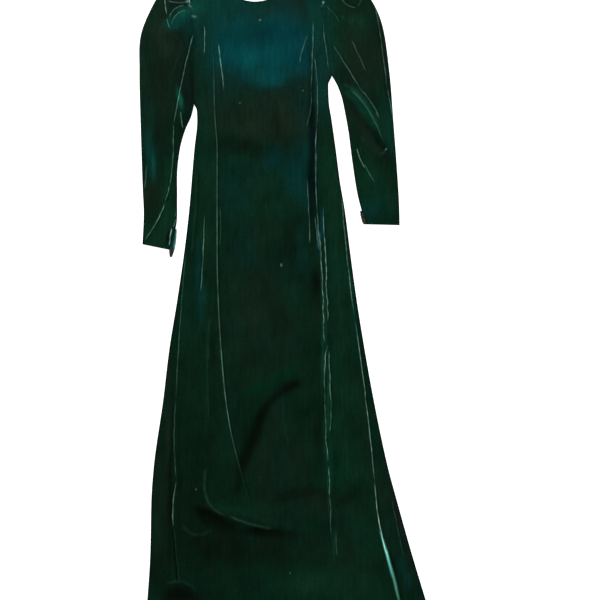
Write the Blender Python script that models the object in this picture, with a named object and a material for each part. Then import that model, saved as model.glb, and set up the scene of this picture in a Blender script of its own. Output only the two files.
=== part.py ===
"""A long-sleeved velvet evening gown, lying face up on a flat surface.

Sizes are millimetres until the meshes are made. X runs across the gown, Y from the hem
(negative) to the neck (positive), and Z up from the surface it lies on. Left and right are
the wearer's, so the wearer's right is at -X. The origin is the bottom centre of its box.
"""

import math

import bmesh
import bpy
import numpy as np

MM = 0.001

# ---------------------------------------------------------------- driving sizes
WALL = 1.5              # velvet with its pile
GAP = 0.3               # between two pieces at a seam or lying on each other
HEM_Y = -764.0          # the hem's lowest point
HEM_RISE = 14.0         # how much higher the hem is at the side seams
HEM_MIDDLE_X = 8.0
HEM_HALF_WIDTH = 335.0
NECK_X, NECK_Y, NECK_RADIUS = -70.5, 785.5, 90.0    # the round neck is part of this circle
NECK_POINT_Y = 764.0    # where the neck meets the shoulder seams
LOFT = 2.2              # how far the front floats above the back, away from its edges
LOFT_EDGE = 55.0        # the margin over which the loft comes down to the edge
UNDERARM_RIGHT_Y = 454.0
UNDERARM_LEFT_Y = 521.0
ROWS_SKIRT, ROWS_BETWEEN, ROWS_ARMHOLE = 22, 2, 12  # steps below, between and above underarms
SLEEVE_SECTIONS = 14

# ---------------------------------------------------------------- outlines, from the hem up
# The outer edge of the body: the side seam up to the underarm, then the armhole.
SIDE_RIGHT = [
    # y, x
    (-764, -328), (-590, -317), (-480, -315), (-407, -310), (-242, -287), (-125, -273),
    (-7, -254), (110, -237), (204, -226), (345, -214), (416, -207), (440, -208),
    (454, -214), (557, -215), (618, -214), (660, -219), (698, -221), (745, -211),
]
SIDE_LEFT = [
    # y, x
    (-764, 347), (-595, 296), (-477, 263), (-407, 244), (-336, 228), (-242, 209),
    (-125, 188), (-7, 169), (110, 153), (204, 141), (275, 129), (345, 120), (416, 110),
    (463, 103), (500, 102), (521, 110), (604, 99), (656, 92), (693, 89), (750, 87),
]
# The long seams between the front centre and the front side panels.
SEAM_RIGHT = [
    # y, x
    (-764, -54), (-595, -68), (-496, -80), (-397, -106), (-310, -127), (-193, -143),
    (-12, -155), (89, -158), (343, -158), (435, -164), (562, -167), (651, -174), (754, -183),
]
SEAM_LEFT = [
    # y, x
    (-764, 134), (-606, 118), (-519, 106), (-418, 101), (-197, 93), (56, 85), (162, 80),
    (235, 75), (329, 72), (392, 75), (491, 75), (566, 68), (644, 66), (757, 52),
]
# The centre back seam runs straight from the neck to the middle of the hem.
SEAM_BACK = [
    # y, x
    (HEM_Y, HEM_MIDDLE_X), (NECK_Y - NECK_RADIUS, NECK_X),
]

# ---------------------------------------------------------------- sleeves
# A row for each section from the armhole to the cuff: its inner end, on the underarm side,
# its outer end, on the shoulder side, and how high the cloth stands at its crown.
SLEEVE_RIGHT = [
    # inner x, inner y, outer x, outer y, crown
    (-214, 454, -211, 745, 3),
    (-221, 425, -262, 763, 15),
    (-234, 396, -300, 708, 20),
    (-244, 364, -339, 620, 20),
    (-250, 332, -343, 530, 16),
    (-254, 290, -341, 430, 11),
    (-254, 225, -336, 270, 6),
    (-256, 170, -333, 195, 4),
    (-272, 111, -336, 124, 2),
]
SLEEVE_LEFT = [
    # inner x, inner y, outer x, outer y, crown
    (110, 521, 87, 750, 3),
    (123, 498, 140, 764, 14),
    (134, 468, 190, 719, 19),
    (142, 430, 228, 645, 19),
    (150, 385, 246, 530, 15),
    (158, 322, 255, 420, 10),
    (169, 250, 265, 285, 6),
    (180, 205, 269, 215, 4),
    (192, 171, 270, 169, 2),
]
SLEEVE_EDGE = 2.0       # the turn of the flattened tube at its two long edges
PLEATS = 4              # gathers along the sleeve head
PLEAT_HEIGHT = 2.2
PLEAT_REACH = 0.42      # the share of the sleeve's length over which they fade out

# ---------------------------------------------------------------- the largest folds
# A row for each fold: a curve through a start, a middle and an end, how wide the fold is,
# and how high it stands. A negative height is a trough in the loft.
FOLDS = [
    # start x, y, middle x, y, end x, y, width, height
    (-166, 520, -158, 20, -80, -496, 16, 2.2),      # along the right front seam
    (72, 560, 84, 40, 106, -519, 18, 3.2),          # along the left front seam
    (132, 256, 180, -170, 263, -705, 26, 7.0),      # down the left of the skirt
    (-233, 110, -258, -290, -247, -667, 22, 6.0),   # down the right of the skirt
    (-189, 197, -193, 90, -200, -52, 14, 2.2),      # short, on the right side panel
    (0, -190, -75, -235, -125, -350, 60, 5.0),      # a swell above the slanting hollow
    (16, -214, -66, -262, -106, -395, 24, -5.0),    # the slanting hollow
    (-186, -404, -150, -506, 31, -550, 26, 8.0),    # a curved fold across the skirt
    (-170, -545, -90, -565, 20, -575, 44, -4.0),    # the hollow under it
    (-282, -677, -245, -672, -211, -693, 20, 5.0),  # short, near the hem
    (-120, 585, -40, 570, 40, 590, 150, 4.0),       # fullness at the bust
    (-214, 618, -262, 380, -336, 140, 20, 4.5),     # the twist down the right sleeve
    (134, 500, 190, 440, 236, 352, 30, 5.0),        # the slanting fold of the left sleeve
]
FOLD_STEPS = 24

# ---------------------------------------------------------------- cuff underlaps
# A narrow strip beside each cuff's slit. A row for each of its points down the strip.
UNDERLAP_RIGHT = [
    # inner x, outer x, y
    (-257.4, -254.6, 160), (-263.2, -255.6, 138), (-269.0, -258.6, 116), (-268.8, -262.6, 104),
    (-267.6, -266.0, 94),
]
UNDERLAP_LEFT = [
    # inner x, outer x, y
    (179.6, 176.6, 203), (183.0, 177.4, 192), (188.2, 181.6, 177), (190.4, 184.8, 171),
]

VELVET = (0.004, 0.032, 0.024, 1.0)
VELVET_BACK = (0.075, 0.060, 0.045, 1.0)


# ---------------------------------------------------------------- curves
def profile(rows):
    """x as a smooth function of y through the rows, with no overshoot between them."""
    y, x = np.array(rows, float).T
    step = np.diff(y)
    slope = np.diff(x) / step
    tangent = np.zeros(len(x))
    tangent[0], tangent[-1] = slope[0], slope[-1]
    for i in range(1, len(x) - 1):
        if slope[i - 1] * slope[i] > 0:
            before, after = 2 * step[i] + step[i - 1], step[i] + 2 * step[i - 1]
            tangent[i] = (before + after) / (before / slope[i - 1] + after / slope[i])

    def at(height):
        i = int(np.clip(np.searchsorted(y, height) - 1, 0, len(step) - 1))
        t = (height - y[i]) / step[i]
        t = min(max(t, 0.0), 1.0)
        start = (1 + 2 * t) * (1 - t) ** 2 * x[i] + t * (1 - t) ** 2 * step[i] * tangent[i]
        end = t * t * (3 - 2 * t) * x[i + 1] - t * t * (1 - t) * step[i] * tangent[i + 1]
        return float(start + end)

    return at


def smooth(t):
    """0 to 1 with a soft start and end."""
    t = min(max(t, 0.0), 1.0)
    return t * t * (3 - 2 * t)


def through_three(start, middle, end, t):
    """A point on the curve that passes start, middle and end at t of 0, 0.5 and 1."""
    a, b, c = 2 * (t - 0.5) * (t - 1), -4 * t * (t - 1), 2 * t * (t - 0.5)
    return (a * start[0] + b * middle[0] + c * end[0], a * start[1] + b * middle[1] + c * end[1])


side_right, side_left = profile(SIDE_RIGHT), profile(SIDE_LEFT)
seam_right, seam_left, seam_back = profile(SEAM_RIGHT), profile(SEAM_LEFT), profile(SEAM_BACK)
NECK_HALF_WIDTH = math.sqrt(NECK_RADIUS ** 2 - (NECK_Y - NECK_POINT_Y) ** 2)
TIP_RIGHT_Y, TIP_LEFT_Y = SIDE_RIGHT[-1][0], SIDE_LEFT[-1][0]


def fold_lines():
    """Each fold as its points along the curve, its width and its height."""
    lines = []
    for x0, y0, xm, ym, x1, y1, width, height in FOLDS:
        steps = [k / FOLD_STEPS for k in range(FOLD_STEPS + 1)]
        points = [through_three((x0, y0), (xm, ym), (x1, y1), t) for t in steps]
        lines.append((np.array(points), width, height))
    return lines


FOLD_LINES = fold_lines()


def folds_at(x, y):
    """How much the folds raise or lower the cloth at a point."""
    total = 0.0
    for points, width, height in FOLD_LINES:
        away = np.hypot(points[:, 0] - x, points[:, 1] - y)
        nearest = int(away.argmin())
        ends = smooth(2.6 * min(nearest, FOLD_STEPS - nearest) / FOLD_STEPS)
        total += height * ends * math.exp(-((away[nearest] / width) ** 2))
    return total


def body_relief(x, y):
    """How high the front stands above the back where it lies flattest."""
    across = min(x - side_right(y), side_left(y) - x)
    neck = math.hypot(x - NECK_X, y - NECK_Y) - NECK_RADIUS
    edge = smooth(across / LOFT_EDGE) * smooth(neck / LOFT_EDGE) * smooth((770 - y) / LOFT_EDGE)
    return max(0.0, (LOFT + folds_at(x, y)) * edge)


# ---------------------------------------------------------------- the grid of the body
def hem_y(x):
    return HEM_Y + HEM_RISE * ((x - HEM_MIDDLE_X) / HEM_HALF_WIDTH) ** 2


def row_shares():
    """The rows, as shares of the way from hem to top, with one at each underarm."""
    low = (UNDERARM_RIGHT_Y - hem_y(side_right(HEM_Y))) / (TIP_RIGHT_Y - hem_y(side_right(HEM_Y)))
    high = (UNDERARM_LEFT_Y - hem_y(side_left(HEM_Y))) / (TIP_LEFT_Y - hem_y(side_left(HEM_Y)))
    return np.concatenate([
        np.linspace(0, low, ROWS_SKIRT + 1)[:-1],
        np.linspace(low, high, ROWS_BETWEEN + 1)[:-1],
        np.linspace(high, 1, ROWS_ARMHOLE + 1),
    ])


ROWS = row_shares()


def neck_points(start_angle, end_angle, steps):
    """Points on the neck's circle, by their angle from straight down."""
    angles = np.linspace(math.radians(start_angle), math.radians(end_angle), steps + 1)
    return [(NECK_X + NECK_RADIUS * math.sin(a), NECK_Y - NECK_RADIUS * math.cos(a)) for a in angles]


def top_line(start, end, steps):
    return [(start[0] + (end[0] - start[0]) * k / steps, start[1] + (end[1] - start[1]) * k / steps)
            for k in range(steps + 1)]


def panel_grid(first_edge, last_edge, tops):
    """Rows of points from the hem up, a column for each top point between two edges."""
    columns = []
    for x_top, y_top in tops:
        across = (x_top - first_edge(y_top)) / (last_edge(y_top) - first_edge(y_top))
        x_hem = first_edge(HEM_Y) + (last_edge(HEM_Y) - first_edge(HEM_Y)) * across
        column = []
        for share in ROWS:
            y = hem_y(x_hem) + share * (y_top - hem_y(x_hem))
            x = first_edge(y) + (last_edge(y) - first_edge(y)) * across
            column.append([x, y])
        columns.append(column)
    grid = np.array(columns).transpose(1, 0, 2)
    grid[:, 0, 0] += GAP / 2
    grid[:, -1, 0] -= GAP / 2
    return grid


# ---------------------------------------------------------------- meshes
def material(name, colour, roughness, sheen):
    made = bpy.data.materials.new(name)
    made.use_nodes = True
    shader = made.node_tree.nodes["Principled BSDF"]
    shader.inputs["Base Color"].default_value = colour
    shader.inputs["Roughness"].default_value = roughness
    shader.inputs["Sheen Weight"].default_value = sheen
    return made


def add_object(name, points, faces, cloth):
    """An object from points in millimetres, with its faces turned outwards."""
    mesh = bpy.data.meshes.new(name)
    mesh.from_pydata([tuple(MM * c for c in p) for p in points], [], faces)
    work = bmesh.new()
    work.from_mesh(mesh)
    bmesh.ops.recalc_face_normals(work, faces=work.faces)
    work.to_mesh(mesh)
    work.free()
    made = bpy.data.objects.new(name, mesh)
    made.data.materials.append(cloth)
    bpy.context.collection.objects.link(made)
    return made


def add_panel(name, grid, lower, cloth):
    """A cut piece of cloth WALL thick, whose underside is lower(x, y) high."""
    rows, columns = grid.shape[:2]
    points = []
    for thickness in (0.0, WALL):
        for row in grid:
            points += [(x, y, lower(x, y) + thickness) for x, y in row]
    count = rows * columns
    faces = []
    for r in range(rows - 1):
        for c in range(columns - 1):
            a, b = r * columns + c, r * columns + c + 1
            d, e = a + columns, b + columns
            faces += [(a, d, e, b), (a + count, b + count, e + count, d + count)]
    border = [c for c in range(columns)]
    border += [r * columns + columns - 1 for r in range(1, rows)]
    border += [(rows - 1) * columns + c for c in range(columns - 2, -1, -1)]
    border += [r * columns for r in range(rows - 2, 0, -1)]
    for k, a in enumerate(border):
        b = border[(k + 1) % len(border)]
        faces.append((a, b, b + count, a + count))
    return add_object(name, points, faces, cloth)


def add_tube(name, outer, inner, cloth):
    """An open tube: the same number of points in each ring of its outside and its lining side."""
    sections, around = len(outer), len(outer[0])
    points = [p for ring in outer for p in ring] + [p for ring in inner for p in ring]
    count = sections * around
    faces = []
    for s in range(sections - 1):
        for k in range(around):
            a, b = s * around + k, s * around + (k + 1) % around
            faces.append((a, b, b + around, a + around))
            faces.append((a + count, a + around + count, b + around + count, b + count))
    for k in range(around):
        a, b = k, (k + 1) % around
        faces.append((a, a + count, b + count, b))
        a, b = a + (sections - 1) * around, b + (sections - 1) * around
        faces.append((a, b, b + count, a + count))
    return add_object(name, points, faces, cloth)


# ---------------------------------------------------------------- sleeves
def blended_rows(rows, share):
    """A row between the rows of a table, smoothly blended, at a share of the table's length."""
    table = np.array(rows, float)
    place = share * (len(table) - 1)
    i = min(int(place), len(table) - 2)
    t = place - i
    before, start, end = table[max(i - 1, 0)], table[i], table[i + 1]
    after = table[min(i + 2, len(table) - 1)]
    pull_in, pull_out = (end - before) / 2, (after - start) / 2
    return ((2 * t ** 3 - 3 * t ** 2 + 1) * start + (t ** 3 - 2 * t ** 2 + t) * pull_in
            + (3 * t ** 2 - 2 * t ** 3) * end + (t ** 3 - t ** 2) * pull_out)


def sleeve_rings(rows, armhole, underarm_share, outward):
    """The outer and inner rings of a sleeve, whose first section follows the armhole."""
    steps = [(share - underarm_share) / (1 - underarm_share)
             for share in ROWS if share > underarm_share - 1e-9]
    outer, inner = [], []
    for s in range(SLEEVE_SECTIONS + 1):
        along = s / SLEEVE_SECTIONS
        in_x, in_y, out_x, out_y, crown = blended_rows(rows, along)
        width = math.hypot(out_x - in_x, out_y - in_y)
        first_y = [rows[0][1] + (rows[0][3] - rows[0][1]) * u for u in steps]
        bends = [armhole(y) - (rows[0][0] + (rows[0][2] - rows[0][0]) * u)
                 for u, y in zip(steps, first_y)]
        flat = []
        for u, bend in zip(steps, bends):
            x = in_x + (out_x - in_x) * u + bend * (1 - smooth(along / 0.2)) + outward * GAP / 2
            y = in_y + (out_y - in_y) * u
            puff = crown * math.sin(math.pi * u) ** 0.8
            fade = smooth((along + 0.04) / 0.12) * (1 - smooth(along / PLEAT_REACH))
            pleat = PLEAT_HEIGHT * fade * math.sin(math.pi * u) * math.cos(2 * math.pi * PLEATS * u)
            fold = folds_at(x, y) * smooth(5 * u) * smooth(5 * (1 - u)) * smooth(along / 0.1)
            flat.append((x, y, max(0.0, puff + pleat + fold)))
        rings = []
        for inset in (0.0, WALL):
            floor, middle = inset, WALL + GAP / 2
            low = [(x, y, floor) for x, y, rise in flat[1:-1]]
            high = [(x, y, 2 * WALL + GAP - inset + rise) for x, y, rise in flat[1:-1]]
            for edge, near, place in ((flat[0], flat[1], 0), (flat[-1], flat[-2], len(low))):
                span = math.hypot(near[0] - edge[0], near[1] - edge[1])
                share = (SLEEVE_EDGE + inset) / span
                x, y = edge[0] + (near[0] - edge[0]) * share, edge[1] + (near[1] - edge[1]) * share
                turn_low, turn_high = (x, y, floor), (x, y, 2 * WALL + GAP - inset + near[2] * share)
                share = inset / span
                x, y = edge[0] + (near[0] - edge[0]) * share, edge[1] + (near[1] - edge[1]) * share
                tip = (x, y, middle)
                if place == 0:
                    low = [tip, turn_low] + low
                    high = [turn_high] + high
                else:
                    low = low + [turn_low, tip]
                    high = high + [turn_high]
            rings.append(low + high[::-1])
        outer.append(rings[0])
        inner.append(rings[1])
    return outer, inner


# ---------------------------------------------------------------- the gown's pieces
def build_body(velvet):
    tip_right = (side_right(TIP_RIGHT_Y), TIP_RIGHT_Y)
    tip_left = (side_left(TIP_LEFT_Y), TIP_LEFT_Y)
    top_right = (seam_right(SEAM_RIGHT[-1][0]), SEAM_RIGHT[-1][0])
    top_left = (seam_left(SEAM_LEFT[-1][0]), SEAM_LEFT[-1][0])
    neck_angle = math.degrees(math.asin(NECK_HALF_WIDTH / NECK_RADIUS))

    def on_back(x, y):
        return WALL + GAP + body_relief(x, y)

    def on_surface(x, y):
        return 0.0

    centre_top = [top_right] + neck_points(-neck_angle, neck_angle, 10) + [top_left]
    add_panel("front_centre", panel_grid(seam_right, seam_left, centre_top), on_back, velvet)
    right_top = top_line(tip_right, top_right, 6)
    add_panel("front_side_right", panel_grid(side_right, seam_right, right_top), on_back, velvet)
    left_top = top_line(top_left, tip_left, 6)
    add_panel("front_side_left", panel_grid(seam_left, side_left, left_top), on_back, velvet)
    right_top = [tip_right] + neck_points(-neck_angle, 0, 3)
    add_panel("back_right", panel_grid(side_right, seam_back, right_top), on_surface, velvet)
    left_top = neck_points(0, neck_angle, 3) + [tip_left]
    add_panel("back_left", panel_grid(seam_back, side_left, left_top), on_surface, velvet)


def build_sleeves(velvet):
    right_start, left_start = ROWS[ROWS_SKIRT], ROWS[ROWS_SKIRT + ROWS_BETWEEN]
    add_tube("sleeve_right", *sleeve_rings(SLEEVE_RIGHT, side_right, right_start, -1), velvet)
    add_tube("sleeve_left", *sleeve_rings(SLEEVE_LEFT, side_left, left_start, 1), velvet)


def build_underlaps(backing):
    for name, rows in (("cuff_underlap_right", UNDERLAP_RIGHT), ("cuff_underlap_left", UNDERLAP_LEFT)):
        grid = np.array([[(inner, y), (outer, y)] for inner, outer, y in rows[::-1]])
        if grid[0, 0, 0] > grid[0, 1, 0]:
            grid = grid[:, ::-1]
        add_panel(name, grid, lambda x, y: 0.0, backing)


def main():
    for old in list(bpy.data.objects):
        bpy.data.objects.remove(old, do_unlink=True)
    velvet = material("green_velvet", VELVET, 0.85, 1.0)
    backing = material("velvet_back", VELVET_BACK, 0.95, 0.0)
    build_body(velvet)
    build_sleeves(velvet)
    build_underlaps(backing)


main()
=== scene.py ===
"""The looks of a dark green velvet evening gown that lies face up on a white surface.

Places are millimetres in the part's own frame until the meshes are made: X runs across the
gown, Y from the hem to the neck, Z up from the surface. Left and right are the wearer's.
Each panel is a thin shell on its CAD solid's form, with a table row for each crease and patch.
A script put those rows into millimetres from places read off the photo: report.md says how.
"""

import math

import bpy
import numpy as np
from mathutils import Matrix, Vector


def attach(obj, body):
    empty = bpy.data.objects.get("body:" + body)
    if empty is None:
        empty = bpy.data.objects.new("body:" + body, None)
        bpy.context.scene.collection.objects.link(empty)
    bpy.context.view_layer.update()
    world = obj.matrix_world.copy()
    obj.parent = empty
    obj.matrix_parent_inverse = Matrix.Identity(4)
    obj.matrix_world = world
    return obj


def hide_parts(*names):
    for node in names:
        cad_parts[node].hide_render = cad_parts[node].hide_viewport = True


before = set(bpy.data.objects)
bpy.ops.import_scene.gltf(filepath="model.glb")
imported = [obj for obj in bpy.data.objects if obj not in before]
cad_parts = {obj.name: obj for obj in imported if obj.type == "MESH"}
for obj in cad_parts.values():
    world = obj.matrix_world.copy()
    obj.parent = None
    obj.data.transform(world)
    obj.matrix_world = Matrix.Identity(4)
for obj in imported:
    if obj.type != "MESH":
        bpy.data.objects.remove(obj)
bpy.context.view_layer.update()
MM = 0.001

# ---------------------------------------------------------------- the cut, as in the CAD model
WALL = 1.5
GAP = 0.3
FRONT_TOP = 2 * WALL + GAP      # the top of the front where it lies flat on the back
HEM_Y, HEM_RISE, HEM_MIDDLE_X, HEM_HALF_WIDTH = -764.0, 14.0, 8.0, 335.0
NECK_X, NECK_Y, NECK_RADIUS, NECK_POINT_Y = -70.5, 785.5, 90.0, 764.0
NECK_HALF_WIDTH = math.sqrt(NECK_RADIUS ** 2 - (NECK_Y - NECK_POINT_Y) ** 2)
LOFT, LOFT_EDGE = 2.2, 55.0
SIDE_RIGHT = [
    # y, x
    (-764, -328), (-590, -317), (-480, -315), (-407, -310), (-242, -287), (-125, -273),
    (-7, -254), (110, -237), (204, -226), (345, -214), (416, -207), (440, -208),
    (454, -214), (557, -215), (618, -214), (660, -219), (698, -221), (745, -211),
]
SIDE_LEFT = [
    # y, x
    (-764, 347), (-595, 296), (-477, 263), (-407, 244), (-336, 228), (-242, 209),
    (-125, 188), (-7, 169), (110, 153), (204, 141), (275, 129), (345, 120), (416, 110),
    (463, 103), (500, 102), (521, 110), (604, 99), (656, 92), (693, 89), (750, 87),
]
SEAM_RIGHT = [
    # y, x
    (-764, -54), (-595, -68), (-496, -80), (-397, -106), (-310, -127), (-193, -143),
    (-12, -155), (89, -158), (343, -158), (435, -164), (562, -167), (651, -174), (754, -183),
]
SEAM_LEFT = [
    # y, x
    (-764, 134), (-606, 118), (-519, 106), (-418, 101), (-197, 93), (56, 85), (162, 80),
    (235, 75), (329, 72), (392, 75), (491, 75), (566, 68), (644, 66), (757, 52),
]
SEAM_BACK = [(HEM_Y, HEM_MIDDLE_X), (NECK_Y - NECK_RADIUS, NECK_X)]
SLEEVE_RIGHT = [
    # inner x, inner y, outer x, outer y, crown
    (-214, 454, -211, 745, 3), (-221, 425, -262, 763, 15), (-234, 396, -300, 708, 20),
    (-244, 364, -339, 620, 20), (-250, 332, -343, 530, 16), (-254, 290, -341, 430, 11),
    (-254, 225, -336, 270, 6), (-256, 170, -333, 195, 4), (-272, 111, -336, 124, 2),
]
SLEEVE_LEFT = [
    # inner x, inner y, outer x, outer y, crown
    (110, 521, 87, 750, 3), (123, 498, 140, 764, 14), (134, 468, 190, 719, 19),
    (142, 430, 228, 645, 19), (150, 385, 246, 530, 15), (158, 322, 255, 420, 10),
    (169, 250, 265, 285, 6), (180, 205, 269, 215, 4), (192, 171, 270, 169, 2),
]
UNDERLAP_RIGHT = [
    # inner x, outer x, y
    (-257.4, -254.6, 160), (-263.2, -255.6, 138), (-269.0, -258.6, 116), (-268.8, -262.6, 104),
    (-267.6, -266.0, 94),
]
UNDERLAP_LEFT = [
    # inner x, outer x, y
    (179.6, 176.6, 203), (183.0, 177.4, 192), (188.2, 181.6, 177), (190.4, 184.8, 171),
]

# ---------------------------------------------------------------- broad folds, as in the CAD model
FOLDS = [
    # start x, y, middle x, y, end x, y, width, height
    (-166, 520, -158, 20, -80, -496, 16, 2.2),      # along the right front seam
    (72, 560, 84, 40, 106, -519, 18, 3.2),          # along the left front seam
    (132, 256, 180, -170, 263, -705, 26, 7.0),      # down the left of the skirt
    (-233, 110, -258, -290, -247, -667, 22, 6.0),   # down the right of the skirt
    (-189, 197, -193, 90, -200, -52, 14, 2.2),      # short, on the right side panel
    (0, -190, -75, -235, -125, -350, 60, 5.0),      # a swell above the slanting hollow
    (16, -214, -66, -262, -106, -395, 24, -5.0),    # the slanting hollow
    (-186, -404, -150, -506, 31, -550, 26, 8.0),    # a curved fold across the skirt
    (-170, -545, -90, -565, 20, -575, 44, -4.0),    # the hollow under it
    (-282, -677, -245, -672, -211, -693, 20, 5.0),  # short, near the hem
    (-120, 585, -40, 570, 40, 590, 150, 4.0),       # fullness at the bust
    (-214, 618, -262, 380, -336, 140, 20, 4.5),     # the twist down the right sleeve
    (134, 500, 190, 440, 236, 352, 30, 5.0),        # the slanting fold of the left sleeve
]

# ---------------------------------------------------------------- creases
# A row for each crease: a curve through a start, a middle and an end. Width and height shape the cloth.
# Shine is the strength of a painted highlight on its crest, and shade the strength of a painted shade
# beside it: to the left of the way it runs, or to the right if negative.
BODY_CREASES = [
    # start x, y, middle x, y, end x, y, width, height, shine, shade
    (-153, 214, -151, 162, -154, 118, 2.0, 0.7, 0.18, 0.4),
    (-157, 595, -150, 543, -143, 482, 2.2, 1.3, 0.62, -0.3),    # right bust dart
    (-190, 639, -189, 604, -190, 569, 2.0, 1.0, 0.54, 0.3),
    (66, 648, 65, 580, 61, 482, 2.2, 1.2, 0.43, 0.5),           # left bust line, upper branch
    (61, 486, 60, 439, 49, 400, 2.2, 0.7, 0.28, 0.3),
    (68, 570, 76, 491, 75, 392, 2.2, 1.2, 0.42, -0.5),          # left bust line, outer branch
    (75, 400, 72, 329, 75, 196, 2.2, 1.6, 0.58, -0.7),
    (75, 204, 79, 153, 82, 106, 2.2, 1.2, 0.55, -0.4),
    (70, 190, 75, 150, 78, 110, 2.0, 1.0, 0.42, -0.4),
    (82, 155, 83, 120, 85, 84, 2.0, 0.9, 0.42, 0.2),
    (120, -554, 121, -583, 122, -611, 3.0, 0.8, 0.22, 0.0),
    (52, 280, 56, 200, 59, 122, 2.0, 1.0, 0.40, 0.3),
    (54, 616, 42, 585, 35, 548, 2.0, 1.0, 0.38, 0.2),           # left bust dart
    (89, 655, 94, 600, 104, 532, 2.0, 0.4, 0.36, -0.5),         # beside the left armhole
    (132, 262, 143, 122, 164, -56, 2.4, 1.6, 0.50, -0.2),       # left skirt crease
    (164, -48, 190, -242, 211, -439, 2.4, 1.8, 0.62, 0.5),
    (210, -431, 221, -529, 238, -604, 2.6, 2.2, 0.84, 0.6),
    (236, -590, 252, -650, 268, -722, 5.5, 4.0, 0.20, 0.6),     # its bright end
    (-189, 200, -193, 87, -198, 10, 2.2, 1.2, 0.46, -0.3),     # right skirt creases
    (-232, 115, -247, -66, -256, -244, 2.4, 1.2, 0.28, -0.2),
    (-256, -236, -260, -336, -254, -434, 2.4, 1.2, 0.25, -0.4),
    (-254, -426, -263, -495, -261, -540, 2.8, 1.8, 0.46, -0.9),
    (-261, -535, -254, -618, -247, -671, 2.8, 1.6, 0.10, -0.9),
    (-186, -398, -181, -477, -132, -513, 8.0, 2.4, 0.10, 0.0),  # the curved fold's crest
    (-137, -511, -76, -534, -28, -544, 7.0, 2.6, 0.13, 0.0),
    (-242, -532, -212, -558, -168, -546, 9.0, 1.6, 0.06, 0.0),
    (-284, -678, -240, -668, -208, -694, 8.0, 2.2, 0.06, 0.0),
    (-212, -385, -204, -397, -195, -402, 3.0, -0.8, 0.00, 0.45),
    (-209, 300, -211, 200, -222, 90, 5.0, 0.8, 0.06, 0.3),
    (-176, -40, -182, -150, -178, -300, 6.0, 0.9, 0.06, 0.0),
    (118, 150, 128, 0, 146, -190, 7.0, 1.0, 0.02, 0.1),
    (130, -210, 142, -330, 150, -470, 7.0, 1.0, 0.02, 0.0),
    (280, -610, 268, -560, 250, -470, 3.0, 1.0, 0.16, -0.3),
    (-6, -230, -2, -290, 8, -350, 9.0, 1.0, 0.03, 0.0),
    (20, 250, 14, 120, 22, -60, 10.0, 0.8, 0.00, 0.0),
    (-90, 230, -86, 60, -98, -120, 10.0, 0.8, 0.00, 0.0),
]
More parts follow.
